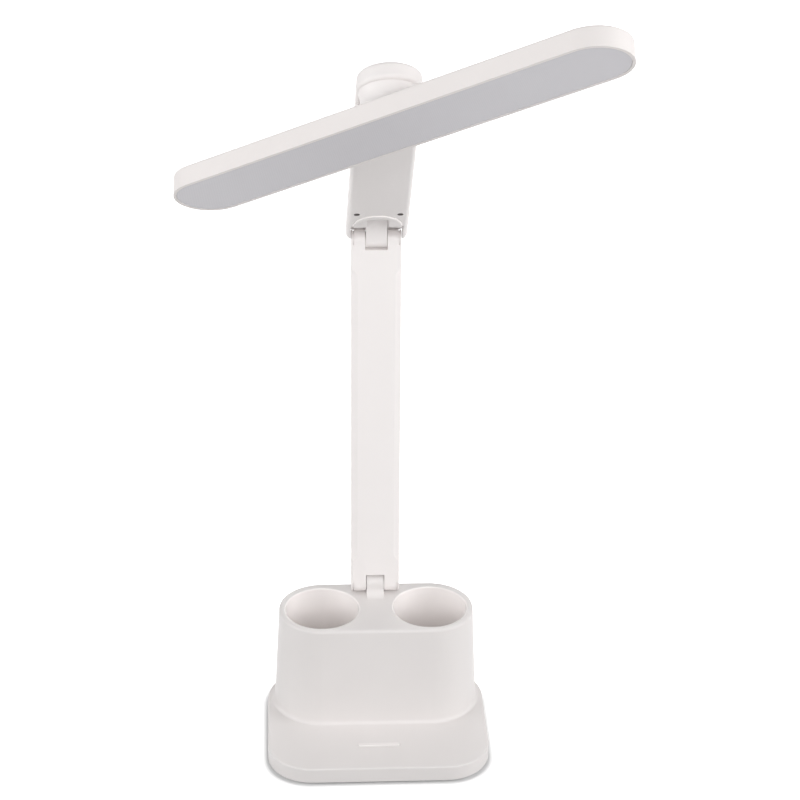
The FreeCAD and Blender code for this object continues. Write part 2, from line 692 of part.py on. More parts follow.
def cover_screws():
    """Four screws from below into the housing's posts."""
    body = new_body("cover_screws")
    heads, shanks = from_above(body, rim_bottom), from_above(body, rim_bottom)
    at_posts(shanks, s.screw_radius)
    pad(body, shanks, s.screw_head_height + s.screw_length - s.cover_thickness)
    at_posts(heads, s.screw_head_radius)
    pad(body, heads, s.screw_head_height)


def base_pad():
    """Soft foot pad that the lamp stands on."""
    body = new_body("base_pad")
    plan = from_above(body, 0)
    plate_outline(plan, s.shell_wall + s.cover_gap + s.pad_inset)
    pad(body, plan, s.pad_thickness)


def ballast_plate():
    """Steel weight on the bottom plate, under the shelf."""
    body = new_body("ballast_plate")
    plan = from_above(body, cover_top)
    draw_rectangle(plan, -(s.ballast_width / 2), s.ballast_width / 2,
                   plate_front + s.ballast_margin, body_centre - s.battery_depth / 2 - s.ballast_gap)
    pad(body, plan, s.ballast_thickness)


def battery_pack():
    """Flat cell on the bottom plate, under the cups."""
    body = new_body("battery_pack")
    plan = from_above(body, cover_top)
    draw_rounded(plan, -(s.battery_width / 2), s.battery_width / 2,
                 body_centre - s.battery_depth / 2, body_centre + s.battery_depth / 2,
                 s.battery_corner)
    pad(body, plan, s.battery_thickness)


def control_board():
    """Circuit board on the bottom plate's posts, behind the cell."""
    body = new_body("control_board")
    plan = from_above(body, cover_top + s.board_lift)
    draw_rectangle(plan, -(s.board_width / 2), s.board_width / 2,
                   board_centre - s.board_depth / 2, board_centre + s.board_depth / 2)
    pad(body, plan, s.board_thickness)


def usb_socket():
    """Charging socket: a sleeve with a contact tongue, on the board's rear edge."""
    body = new_body("usb_socket")
    mouth = s.plate_depth / 2 - s.socket_recess
    sleeve, opening = from_front(body, -mouth), from_front(body, -mouth)
    socket_outline(sleeve)
    pad(body, sleeve, s.socket_length)
    socket_outline(opening, -s.socket_wall)
    cut(body, opening, s.socket_depth, FORWARD)
    tongue = from_front(body, s.socket_depth - mouth)
    height = cover_top + s.board_lift + s.board_thickness + s.socket_height / 2
    draw_rectangle(tongue, -(s.tongue_width / 2), s.tongue_width / 2,
                   height - s.tongue_height / 2, height + s.tongue_height / 2)
    pad(body, tongue, s.tongue_length, BACKWARD)


def touch_key():
    """Raised touch bar through the shelf, held by a flange underneath."""
    body = new_body("touch_key")
    flange = from_above(body, shelf_underside - s.key_flange_thickness)
    bar = from_above(body, shelf_underside)
    key_outline(flange, s.key_flange)
    pad(body, flange, s.key_flange_thickness)
    key_outline(bar)
    pad(body, bar, s.shelf_thickness + s.key_raise)
    round_edges(body, s.key_edge_radius, lambda edge: lies_at(edge, "z", plate_top + s.key_raise))


def touch_foil():
    """Sensing foil under the touch key's flange."""
    body = new_body("touch_foil")
    plan = from_above(body, shelf_underside - s.key_flange_thickness)
    key_outline(plan, s.key_flange)
    pad(body, plan, s.foil_thickness, BACKWARD)


def hinge_bolt(label, height):
    """Bolt across a fork, its head sunk in the left tine."""
    body = new_body(label, ARM_FRAME)
    left = s.bolt_sink - s.arm_width / 2
    head, shank = from_side(body, left), from_side(body, left)
    draw_circle(head, 0, height, s.bolt_head_radius)
    pad(body, head, s.bolt_head_height)
    draw_circle(shank, 0, height, s.bolt_radius)
    pad(body, shank, s.arm_width - s.bolt_sink * 2)


def hinge_nut(label, height):
    """Nut on the bolt's end, sunk in the right tine."""
    body = new_body(label, ARM_FRAME)
    end = s.arm_width / 2 - s.bolt_sink
    hexagon, hole = from_side(body, end), from_side(body, end)
    draw_hexagon(hexagon, 0, height, s.nut_radius)
    pad(body, hexagon, s.nut_height, BACKWARD)
    draw_circle(hole, 0, height, s.bolt_radius + s.screw_gap)
    cut(body, hole, s.nut_height)


def hinge_washers(label, height, slot_width):
    """Friction washers against the two tines' inner faces."""
    body = new_body(label, ARM_FRAME)
    for side, way in ((-1, FORWARD), (1, BACKWARD)):
        ring = from_side(body, slot_width * (side / 2))
        draw_circle(ring, 0, height, s.washer_radius)
        draw_circle(ring, 0, height, s.bolt_radius + s.screw_gap)
        pad(body, ring, s.washer_thickness, way)


def arm_shell():
    """Flat arm with a fork at each end, stopped chamfers in front and a wire space behind."""
    body = new_body("arm_shell", ARM_FRAME)
    profile = from_side(body)
    draw_outline(profile, [(0, 0, s.arm_round), (0, s.arm_length, s.arm_round)])
    pad(body, profile, s.arm_width, BOTH_WAYS)

    def along_side(edge):
        return lies_at(edge, "x", s.arm_width / 2) or lies_at(edge, "x", -(s.arm_width / 2))

    round_edges(body, s.arm_edge_radius, along_side)

    slots = from_front(body, 0)
    beyond = s.arm_round * 2
    draw_rectangle(slots, -(lower_slot_width / 2), lower_slot_width / 2, -beyond, s.lower_slot_depth)
    draw_rectangle(slots, -(upper_slot_width / 2), upper_slot_width / 2,
                   s.arm_length - s.upper_slot_depth, s.arm_length + beyond)
    cut(body, slots, s.arm_round * 2, BOTH_WAYS)

    bores = from_side(body)
    heads, nuts = from_side(body, -(s.arm_width / 2)), from_side(body, s.arm_width / 2)
    for height in (as_size(0), s.arm_length):
        draw_circle(bores, 0, height, bolt_hole)
        draw_circle(heads, 0, height, s.bolt_head_radius + s.head_gap)
        draw_hexagon(nuts, 0, height, s.nut_radius + s.head_gap)
    cut(body, bores, s.arm_width, BOTH_WAYS)
    cut(body, heads, s.bolt_sink + s.bolt_head_height, FORWARD)
    cut(body, nuts, s.bolt_sink + s.nut_height, BACKWARD)

    for side in (-1, 1):
        groove = from_side(body, s.groove_spread * (side / 2))
        for height, way in ((as_size(0), -1), (s.arm_length, 1)):
            draw_ring_round_end(groove, height, s.arm_round - s.groove_depth, s.arm_round + s.groove_overrun,
                                s.groove_run, way)
        cut(body, groove, s.groove_width, BOTH_WAYS)

    low, high = s.chamfer_start, s.arm_length - s.chamfer_start
    for side in (-1, 1):
        bevel = from_front(body)
        inner = (s.arm_width / 2 - s.chamfer_width) * side
        slope = turn(Y_AXIS, s.chamfer_slope_angle * side)
        bevel.setExpression("AttachmentOffset", shift(inner, 0, s.arm_round) + " * " + slope)
        outer = (s.chamfer_width + s.chamfer_overrun) * side
        draw_polygon(bevel, [(0, low + s.chamfer_runout), (outer, low - s.chamfer_runout),
                             (outer, high + s.chamfer_runout), (0, high - s.chamfer_runout)])
        cut(body, bevel, s.arm_round, FORWARD)

    seat = from_front(body, -s.arm_round)
    draw_rounded(seat, -(s.arm_cover_width / 2), s.arm_cover_width / 2,
                 s.arm_cover_end, s.arm_length - s.arm_cover_end, s.arm_cover_corner)
    cut(body, seat, s.arm_cover_thickness, FORWARD)
    cover_face = s.arm_cover_thickness - s.arm_round
    hollow = from_front(body, cover_face)
    draw_rectangle(hollow, -(s.arm_hollow_width / 2), s.arm_hollow_width / 2,
                   s.arm_hollow_end, s.arm_length - s.arm_hollow_end)
    depth = s.arm_round * 2 - s.arm_cover_thickness - s.arm_wall
    cut(body, hollow, depth, FORWARD)
    posts, pilots = from_front(body, cover_face), from_front(body, cover_face)
    for height in (s.arm_post_end, s.arm_length - s.arm_post_end):
        draw_circle(posts, 0, height, s.post_radius)
        draw_circle(pilots, 0, height, shank_hole)
    pad(body, posts, depth + s.arm_wall / 2)
    cut(body, pilots, s.arm_screw_length, FORWARD)


def arm_back_cover():
    """Strip that closes the arm's wire space, flush with its back."""
    body = new_body("arm_back_cover", ARM_FRAME)
    plan = from_front(body, -s.arm_round)
    draw_rounded(plan, s.arm_cover_gap - s.arm_cover_width / 2, s.arm_cover_width / 2 - s.arm_cover_gap,
                 s.arm_cover_end + s.arm_cover_gap, s.arm_length - s.arm_cover_end - s.arm_cover_gap,
                 s.arm_cover_corner)
    pad(body, plan, s.arm_cover_thickness)
    heads, shanks = from_front(body, -s.arm_round), from_front(body, -s.arm_round)
    for height in (s.arm_post_end, s.arm_length - s.arm_post_end):
        draw_circle(heads, 0, height, head_hole)
        draw_circle(shanks, 0, height, shank_hole)
    cut(body, heads, s.screw_head_height, FORWARD)
    cut(body, shanks, s.arm_cover_thickness, FORWARD)


def arm_screws():
    """Two screws through the arm's back cover."""
    body = new_body("arm_screws", ARM_FRAME)
    heads, shanks = from_front(body, -s.arm_round), from_front(body, -s.arm_round)
    for height in (s.arm_post_end, s.arm_length - s.arm_post_end):
        draw_circle(shanks, 0, height, s.screw_radius)
        draw_circle(heads, 0, height, s.screw_head_radius)
    pad(body, shanks, s.arm_cover_thickness + s.arm_screw_length - s.screw_gap)
    pad(body, heads, s.screw_head_height)


def neck_outline(sketch):
    """The neck from the front: a foot with round corners that narrows to a round end."""
    corner = s.neck_corner_radius
    side = s.neck_foot_width / 2 - corner
    low = corner - s.neck_foot_drop
    draw_outline(sketch, [(-side, low, corner), (side, low, corner),
                          (0, s.neck_length, s.neck_tip_width / 2)])


def clear_fork(body):
    """Room in the neck's foot for the arm's fork to turn."""
    room = s.arm_round + s.hinge_clearance
    turning, below = from_side(body), from_side(body)
    draw_circle(turning, 0, 0, room)
    cut(body, turning, fork_room, BOTH_WAYS)
    draw_rectangle(below, -room, room, -room, 0)
    cut(body, below, fork_room, BOTH_WAYS)


def neck_shell():
    """Rear half of the neck: hollow, with the hinge barrel on its web and two screw posts."""
    body = new_body("neck_shell", NECK_FRAME)
    plan = from_front(body, neck_split)
    neck_outline(plan)
    pad(body, plan, neck_split - neck_back, BACKWARD)
    round_edges(body, s.neck_edge_radius, lambda edge: lies_at(edge, "y", -neck_back))
    clear_fork(body)

    hollow = from_front(body, neck_split)
    corner = s.neck_corner_radius
    side = s.neck_foot_width / 2 - s.neck_wall - corner
    low = s.neck_hollow_start + corner
    draw_outline(hollow, [(-side, low, corner), (side, low, corner),
                          (0, s.neck_length, s.neck_tip_width / 2 - s.neck_wall)])
    depth = neck_split - neck_back - s.neck_wall
    cut(body, hollow, depth, BACKWARD)

    relief = from_front(body, neck_split)
    draw_rectangle(relief, -(fork_room / 2), fork_room / 2, 0, s.fold_relief)
    cut(body, relief, depth, BACKWARD)
    web, barrel, bore = from_side(body), from_side(body), from_side(body)
    wall_face = depth - neck_split
    in_wall = wall_face + s.neck_wall / 2
    leaves_y = -(s.upper_knuckle_radius * sine(s.web_slope_angle))
    leaves_z = s.upper_knuckle_radius * cosine(s.web_slope_angle)
    web_top = leaves_z + (wall_face - leaves_y) * tangent(s.web_slope_angle)
    draw_polygon(web, [(0, 0), (in_wall, 0), (in_wall, web_top), (wall_face, web_top), (leaves_y, leaves_z)])
    pad(body, web, s.upper_knuckle_width, BOTH_WAYS)
    draw_circle(barrel, 0, 0, s.upper_knuckle_radius)
    pad(body, barrel, s.upper_knuckle_width, BOTH_WAYS)
    draw_circle(bore, 0, 0, bolt_hole)
    cut(body, bore, s.upper_knuckle_width + s.hinge_side_gap, BOTH_WAYS)

    posts, pilots = from_front(body, neck_split), from_front(body, neck_split)
    for side in (-1, 1):
        draw_circle(posts, s.neck_screw_x * side, s.neck_screw_end, s.neck_post_radius)
        draw_circle(pilots, s.neck_screw_x * side, s.neck_screw_end, s.neck_screw_radius + s.screw_gap)
    pad(body, posts, depth + s.neck_wall / 2, BACKWARD)
    cut(body, pilots, s.neck_screw_length, BACKWARD)


def neck_cover():
    """Front half of the neck: hood at the hinge, two sunk screw holes, swivel boss."""
    body = new_body("neck_cover", NECK_FRAME)
    plan = from_front(body, neck_split)
    neck_outline(plan)
    pad(body, plan, s.neck_cover_thickness)
    round_edges(body, s.neck_edge_radius, lambda edge: lies_at(edge, "y", -s.neck_front))

    hood = from_front(body, s.neck_front)
    draw_circle(hood, 0, s.hood_end - s.hood_radius, s.hood_radius)
    pad(body, hood, s.hood_raise)
    round_edges(body, s.hood_edge_radius, lambda edge: lies_at(edge, "y", -hood_front))

    relief, notch = from_front(body, neck_split), from_front(body, neck_split)
    draw_rectangle(relief, -(fork_room / 2), fork_room / 2, -s.arm_round, s.fold_relief)
    cut(body, relief, s.neck_cover_thickness + s.hood_raise, FORWARD)
    half = s.upper_knuckle_width / 2 + s.notch_gap
    draw_rounded(notch, -half, half, 0, s.notch_end, s.notch_corner)
    cut(body, notch, s.neck_cover_thickness + s.hood_raise, FORWARD)

    def at_notch_mouth(edge):
        beside = lies_at(edge, "x", half) or lies_at(edge, "x", -half)
        return beside and lies_at(edge, "z", s.fold_relief)

    round_edges(body, s.notch_mouth_radius, at_notch_mouth)

    boss, bore = from_front(body, s.neck_front), from_front(body, neck_split)
    draw_circle(boss, 0, s.neck_length, s.swivel_radius)
    pad(body, boss, s.neck_boss_height)

    def at_boss_root(edge):
        return lies_at(edge, "y", -s.neck_front) and is_ring(edge, s.swivel_radius)

    round_edges(body, s.boss_root_radius, at_boss_root)
    draw_circle(bore, 0, s.neck_length, spindle_hole)
    cut(body, bore, s.neck_cover_thickness + s.neck_boss_height, FORWARD)

    heads, shanks = from_front(body, s.neck_front), from_front(body, s.neck_front)
    for side in (-1, 1):
        draw_circle(heads, s.neck_screw_x * side, s.neck_screw_end, s.neck_screw_head_radius + s.head_gap)
        draw_circle(shanks, s.neck_screw_x * side, s.neck_screw_end, s.neck_screw_radius + s.screw_gap)
    cut(body, heads, s.neck_screw_sink + s.neck_screw_head_height)
    cut(body, shanks, s.neck_cover_thickness)


def neck_screws():
    """Two screws sunk in the neck's front half."""
    body = new_body("neck_screws", NECK_FRAME)
    top = s.neck_front - s.neck_screw_sink
    heads, shanks = from_front(body, top), from_front(body, top)
    for side in (-1, 1):
        draw_circle(shanks, s.neck_screw_x * side, s.neck_screw_end, s.neck_screw_radius)
        draw_circle(heads, s.neck_screw_x * side, s.neck_screw_end, s.neck_screw_head_radius)
    pad(body, shanks, s.neck_screw_head_height + s.neck_screw_length, BACKWARD)
    pad(body, heads, s.neck_screw_head_height, BACKWARD)


spring_face = neck_split - s.spring_gap
nut_face = spring_face - s.spring_thickness - s.spring_gap


def swivel_spindle():
    """Hollow spindle, fixed in the bar and turning in the neck."""
    body = new_body("swivel_spindle", HEAD_FRAME)
    flange, shank = from_front(body, bar_floor), from_front(body, bar_floor)
    bore = from_front(body, bar_floor)
    draw_circle(flange, 0, 0, s.spindle_flange_radius)
    pad(body, flange, s.spindle_flange_thickness)
    draw_circle(shank, 0, 0, s.spindle_radius)
    length = bar_floor - nut_face + s.swivel_nut_height + s.spindle_end
    pad(body, shank, length, BACKWARD)
    draw_circle(bore, 0, 0, s.spindle_bore)
    cut(body, bore, (length + s.spindle_flange_thickness) * 2, BOTH_WAYS)


def swivel_washer():
    """Spring washer between the neck's front half and the nut."""
    body = new_body("swivel_washer", HEAD_FRAME)
    ring = from_front(body, spring_face)
    draw_circle(ring, 0, 0, s.spring_radius)
    draw_circle(ring, 0, 0, spindle_hole)
    pad(body, ring, s.spring_thickness, BACKWARD)


def swivel_nut():
    """Nut that keeps the spindle in the neck."""
    body = new_body("swivel_nut", HEAD_FRAME)
    hexagon, hole = from_front(body, nut_face), from_front(body, nut_face)
    draw_hexagon(hexagon, 0, 0, s.swivel_nut_radius)
    pad(body, hexagon, s.swivel_nut_height, BACKWARD)
    draw_circle(hole, 0, 0, s.spindle_radius + s.spindle_seat_gap)
    cut(body, hole, s.swivel_nut_height)


def bar_outline(sketch, inset=0):
    """The light bar from the front: a strip with round ends."""
    inset = as_size(inset)
    draw_stadium(sketch, 0, 0, s.bar_length - inset * 2, s.bar_width - inset * 2)


def head_housing():
    """Tray of the light bar, with a ledge for the diffuser and a swivel boss on its back."""
    body = new_body("head_housing", HEAD_FRAME)
    plan = from_front(body, bar_back_face)
    bar_outline(plan)
    pad(body, plan, s.bar_thickness)
    round_edges(body, s.bar_edge_radius, lambda edge: lies_at(edge, "y", -bar_back_face))
    seat, tray = from_front(body, bar_front), from_front(body, bar_front)
    bar_outline(seat, s.bar_rim)
    cut(body, seat, s.diffuser_thickness + s.diffuser_recess)
    bar_outline(tray, s.bar_rim + s.bar_ledge)
    cut(body, tray, s.bar_thickness - s.bar_back)

    boss, bore = from_front(body, bar_back_face), from_front(body, bar_floor)
    draw_circle(boss, 0, 0, s.swivel_radius)
    pad(body, boss, s.head_boss_height, BACKWARD)

    def at_boss_root(edge):
        return lies_at(edge, "y", -bar_back_face) and is_ring(edge, s.swivel_radius)

    round_edges(body, s.boss_root_radius, at_boss_root)
    draw_circle(bore, 0, 0, s.spindle_radius + s.spindle_seat_gap)
    cut(body, bore, s.bar_back + s.head_boss_height)


def head_diffuser():
    """Pale panel over the light strip, resting on the tray's ledge."""
    body = new_body("head_diffuser", HEAD_FRAME)
    plan = from_front(body, bar_front - s.diffuser_recess)
    bar_outline(plan, s.bar_rim + s.diffuser_gap)
    pad(body, plan, s.diffuser_thickness, BACKWARD)


def led_board():
    """Strip board on the tray's floor, with a hole round the spindle."""
    body = new_body("led_board", HEAD_FRAME)
    plan, hole = from_front(body, bar_floor), from_front(body, bar_floor)
    draw_rectangle(plan, -(s.strip_length / 2), s.strip_length / 2, -(s.strip_width / 2), s.strip_width / 2)
    pad(body, plan, s.strip_thickness)
    draw_circle(hole, 0, 0, s.strip_hole_radius)
    cut(body, hole, s.strip_thickness, FORWARD)


def led_chips():
    """Light chips in a row along the strip board, either side of the spindle."""
    body = new_body("led_chips", HEAD_FRAME)
    plan = from_front(body, bar_floor + s.strip_thickness)
    for step in range(1, CHIPS_PER_SIDE + 1):
        for side in (-1, 1):
            centre = s.chip_pitch * (step * side)
            draw_rectangle(plan, centre - s.chip_length / 2, centre + s.chip_length / 2,
                           -(s.chip_width / 2), s.chip_width / 2)
    pad(body, plan, s.chip_height)


def build():
    """Make every sub-part."""
    base_shell()
    base_cover()
    cover_screws()
    base_pad()
    ballast_plate()
    battery_pack()
    control_board()
    usb_socket()
    touch_key()
    touch_foil()
    hinges = (("lower", 0, lower_slot_width), ("upper", s.arm_length, upper_slot_width))
    for place, height, slot_width in hinges:
        hinge_bolt(f"{place}_hinge_bolt", height)
        hinge_nut(f"{place}_hinge_nut", height)
        hinge_washers(f"{place}_hinge_washers", height, slot_width)
    arm_shell()
    arm_back_cover()
    arm_screws()
    neck_shell()
    neck_cover()
    neck_screws()
    swivel_spindle()
    swivel_washer()
    swivel_nut()
    head_housing()
    head_diffuser()
    led_board()
    led_chips()
    doc.recompute()


def check():
    """Stop if any object failed or any sub-part has no sound solid."""
    for item in doc.Objects:
        if any(word in item.State for word in ("Invalid", "Error")):
            raise RuntimeError(f"{item.Label} failed: {item.State}")
    for body in bodies:
        if body.Shape.isNull() or not body.Shape.isValid() or not body.Shape.Solids:
            raise RuntimeError(f"{body.Label} has no valid solid")


def write():
    """Write each sub-part to its own file."""
    os.makedirs("parts", exist_ok=True)
    for body in bodies:
        body.Shape.exportStep(f"parts/{body.Label}.step")
        box = body.Shape.BoundBox
        print(f"{body.Label}: {len(body.Shape.Solids)} solids, {body.Shape.Volume:.0f} mm3, "
              f"z {box.ZMin:.2f} to {box.ZMax:.2f}")


build()
check()
write()
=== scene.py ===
# White folding desk lamp with two pen cups: finishes, studio and camera. Metres, +Z up, front -Y.
import json
import math

import bmesh
import bpy
from mathutils import Matrix, Vector


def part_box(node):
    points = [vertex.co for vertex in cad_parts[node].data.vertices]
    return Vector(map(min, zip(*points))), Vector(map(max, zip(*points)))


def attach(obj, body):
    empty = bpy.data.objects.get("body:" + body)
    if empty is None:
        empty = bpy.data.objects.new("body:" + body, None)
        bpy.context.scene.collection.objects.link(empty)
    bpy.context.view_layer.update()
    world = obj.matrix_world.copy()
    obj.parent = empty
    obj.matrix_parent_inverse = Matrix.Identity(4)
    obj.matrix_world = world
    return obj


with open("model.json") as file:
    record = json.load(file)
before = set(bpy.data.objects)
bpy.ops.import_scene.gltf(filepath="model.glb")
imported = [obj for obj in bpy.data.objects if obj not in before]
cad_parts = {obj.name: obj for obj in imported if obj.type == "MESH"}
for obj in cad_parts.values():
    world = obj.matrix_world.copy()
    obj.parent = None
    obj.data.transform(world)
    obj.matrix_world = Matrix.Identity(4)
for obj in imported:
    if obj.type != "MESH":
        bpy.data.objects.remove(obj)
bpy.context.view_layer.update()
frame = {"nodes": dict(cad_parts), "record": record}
scene = bpy.context.scene

# Where the camera stands, how it is turned, and its lens for a square picture
CAMERA_PLACE = (-0.05304, -1.11891, 0.80488)
CAMERA_YAW = 3.29
CAMERA_PITCH = -27.42
CAMERA_ROLL = 0.83
CAMERA_LENS = 102.08
SENSOR = 36.0
CAMERA_REACH = 20.0

# Light from the surround in front and behind
FRONT_LIGHT = 0.39
BACK_LIGHT = 0.31

# Soft boxes: name, place, size and power, all aimed at the lamp's middle
LIGHT_TARGET = (0, 0, 0.25)
SOFT_BOXES = (
    ("left_box", (-1.5, -0.3, 0.75), (1.0, 1.0), 10.9),
    ("right_box", (1.5, -0.4, 0.75), (1.0, 1.0), 13.2),
    ("front_box", (0.1, -1.7, 1.0), (1.4, 0.8), 13.2),
    ("back_box", (0.15, 1.7, 0.45), (1.2, 0.8), 8.0),
)

# The table: its half width, its colour as it lights the lamp and as the eye sees it,
# and its own glow, which rises from under the plate to full white a few millimetres outside it
FLOOR_REACH = 6.0
FLOOR_BOUNCE = 0.5
FLOOR_SEEN = 0.8
GLOW_NEAR = 0.03
GLOW_FAR = 1.0
GLOW_STARTS = 0.0005
GLOW_ENDS = 0.006
PLATE_CORNER = 0.025

# The two pen wells, painted lighter inside than the base as painted light, with a clear polish: the right
# one's axis, their radius, and how far the paint and polish reach over the lip
WELL_PLACE = (0.032, 0.0205, 0.0)
WELL_RADIUS = 0.0219
LIP_WIDTH = 0.0008

# The two screw holes in the neck's front half, painted dark inside as painted shade: how far from the middle,
# and their radius with a soft edge
SCREW_HOLE_X = 0.012
SCREW_HOLE_RADIUS = 0.00165
HOLE_EDGE = 0.00006

# The swivel, the way the neck's front faces, and how far the bar is turned on it in the picture
SWIVEL = [joint for joint in frame["record"]["behaviour"]["joints"] if joint["name"] == "head_swivel"][0]
NECK_FACING = Vector(SWIVEL["axis"]).normalized()
BAR_TURN = 39.3

# Spacing of the light panel's prisms, and how strongly they show in the surface
PRISM_PITCH = 0.0012
PRISM_STRENGTH = 0.25
PRISM_DEPTH = 0.0001

# The bar's flared swivel foot: the bar's back ahead of the swivel's middle, then radii, heights and fineness
BAR_BACK = 0.0124
FOOT_RADIUS = 0.0183
FOOT_HEIGHT = 0.0062
FOOT_SINK = 0.0005
WAIST_RADIUS = 0.0146
LIP_RADIUS = 0.0156
SLEEVE_BORE = 0.0121
SLEEVE_HEIGHT = 0.0107
FOOT_STEPS = 14
FOOT_AROUND = 128
SHARP_ANGLE = math.radians(40)

# The moulded plastic's gloss and the depth of its grain
SHELL_ROUGHNESS = 0.45
SHELL_GLOSS = 0.2
WELL_GLOSS_ROUGHNESS = 0.2
GRAIN_STRENGTH = 0.35
GRAIN_DEPTH = 0.00002

# Each plastic's colour, and the shade that it drifts to, with painted light and painted shade noted at the
# colours that hold them
SHELL_WHITE = ((0.912, 0.876, 0.865), (0.902, 0.866, 0.855))
# Painted shade: the bar's white is a darker copy of the shell's white, standing in for less light on the bar's
# long side
BAR_SHADED_WHITE = ((0.858, 0.818, 0.803), (0.848, 0.808, 0.793))
# The base's white is darker than the shell's white, partly as another batch of plastic and partly as painted
# shade
BASE_WHITE_PARTLY_SHADED = ((0.785, 0.755, 0.744), (0.775, 0.745, 0.734))
# Painted light: the wells are the base's own plastic, painted whiter to stand in for light reaching down into
# them
WELL_PAINTED_LIGHT = (0.98, 0.94, 0.925)
# Painted shade: dark grey inside the neck cover's two screw holes, standing in for the shade in them
HOLE_PAINTED_SHADE = (0.2, 0.185, 0.18)


def socket_in(tree, name, kind, value=None):
    """A named input of a node group, with its usual value."""
    socket = tree.interface.new_socket(name=name, in_out="INPUT", socket_type=f"NodeSocket{kind}")
    if value is not None:
        socket.default_value = value
    return socket


def socket_out(tree, name, kind):
    """A named output of a node group."""
    return tree.interface.new_socket(name=name, in_out="OUTPUT", socket_type=f"NodeSocket{kind}")


def add_node(tree, kind, place, **settings):
    """A node at a place in its tree, with settings and input values by name."""
    node = tree.nodes.new(kind)
    node.location = place
    for name, value in settings.items():
        if name == "inputs":
            for key, number in value.items():
                node.inputs[key].default_value = number
        else:
            setattr(node, name, value)
    return node


def moulded_skin_group():
    """Spark-eroded mould texture: fine grain in the height, slow drift in shade and gloss."""
    tree = bpy.data.node_groups.new("moulded_skin", "ShaderNodeTree")
    socket_in(tree, "Color", "Color", (0.8, 0.8, 0.8, 1.0))
    socket_in(tree, "Shade", "Color", (0.7, 0.7, 0.7, 1.0))
    socket_in(tree, "Roughness", "Float", 0.4)
    socket_in(tree, "Drift", "Float", 0.06)
    socket_in(tree, "Grain Scale", "Float", 2600.0)
    socket_out(tree, "Color", "Color")
    socket_out(tree, "Roughness", "Float")
    socket_out(tree, "Height", "Float")
    inside = add_node(tree, "NodeGroupInput", (-900, 0))
    result = add_node(tree, "NodeGroupOutput", (600, 0))
    coords = add_node(tree, "ShaderNodeTexCoord", (-900, 300))
    grain = add_node(tree, "ShaderNodeTexNoise", (-500, 300), inputs={"Detail": 3.0, "Roughness": 0.6})
    drift = add_node(tree, "ShaderNodeTexNoise", (-500, 0), inputs={"Scale": 22.0, "Detail": 2.0})
    tint = add_node(tree, "ShaderNodeMix", (100, 200), data_type="RGBA")
    spread = add_node(tree, "ShaderNodeMapRange", (-250, 0), inputs={"From Min": 0.35, "From Max": 0.65})
    half = add_node(tree, "ShaderNodeMath", (-80, -150), operation="SUBTRACT", inputs={1: 0.5})
    swing = add_node(tree, "ShaderNodeMath", (100, -150), operation="MULTIPLY")
    rough = add_node(tree, "ShaderNodeMath", (300, -150), operation="ADD")
    link = tree.links.new
    link(coords.outputs["Object"], grain.inputs["Vector"])
    link(coords.outputs["Object"], drift.inputs["Vector"])
    link(inside.outputs["Grain Scale"], grain.inputs["Scale"])
    link(drift.outputs["Fac"], spread.inputs["Value"])
    link(spread.outputs["Result"], tint.inputs["Factor"])
    link(inside.outputs["Color"], tint.inputs["A"])
    link(inside.outputs["Shade"], tint.inputs["B"])
    link(tint.outputs["Result"], result.inputs["Color"])
    link(spread.outputs["Result"], half.inputs[0])
    link(half.outputs[0], swing.inputs[0])
    link(inside.outputs["Drift"], swing.inputs[1])
    link(swing.outputs[0], rough.inputs[0])
    link(inside.outputs["Roughness"], rough.inputs[1])
    link(rough.outputs[0], result.inputs["Roughness"])
    link(grain.outputs["Fac"], result.inputs["Height"])
    return tree


def turned_metal_group():
    """Fine turning marks on small metal parts."""
    tree = bpy.data.node_groups.new("turned_metal", "ShaderNodeTree")
    socket_in(tree, "Color", "Color", (0.6, 0.6, 0.62, 1.0))
    socket_in(tree, "Shade", "Color", (0.45, 0.45, 0.47, 1.0))
    socket_in(tree, "Roughness", "Float", 0.3)
    socket_out(tree, "Color", "Color")
    socket_out(tree, "Roughness", "Float")
    inside = add_node(tree, "NodeGroupInput", (-900, 0))
    result = add_node(tree, "NodeGroupOutput", (500, 0))
    coords = add_node(tree, "ShaderNodeTexCoord", (-900, 300))
    marks = add_node(tree, "ShaderNodeTexNoise", (-500, 200), inputs={"Scale": 900.0, "Detail": 4.0})
    tint = add_node(tree, "ShaderNodeMix", (0, 200), data_type="RGBA")
    rough = add_node(tree, "ShaderNodeMath", (200, -100), operation="MULTIPLY_ADD", inputs={1: 0.15})
    link = tree.links.new
    link(coords.outputs["Object"], marks.inputs["Vector"])
    link(marks.outputs["Fac"], tint.inputs["Factor"])
    link(inside.outputs["Color"], tint.inputs["A"])
    link(inside.outputs["Shade"], tint.inputs["B"])
    link(tint.outputs["Result"], result.inputs["Color"])
    link(marks.outputs["Fac"], rough.inputs[0])
    link(inside.outputs["Roughness"], rough.inputs[2])
    link(rough.outputs[0], result.inputs["Roughness"])
    return tree


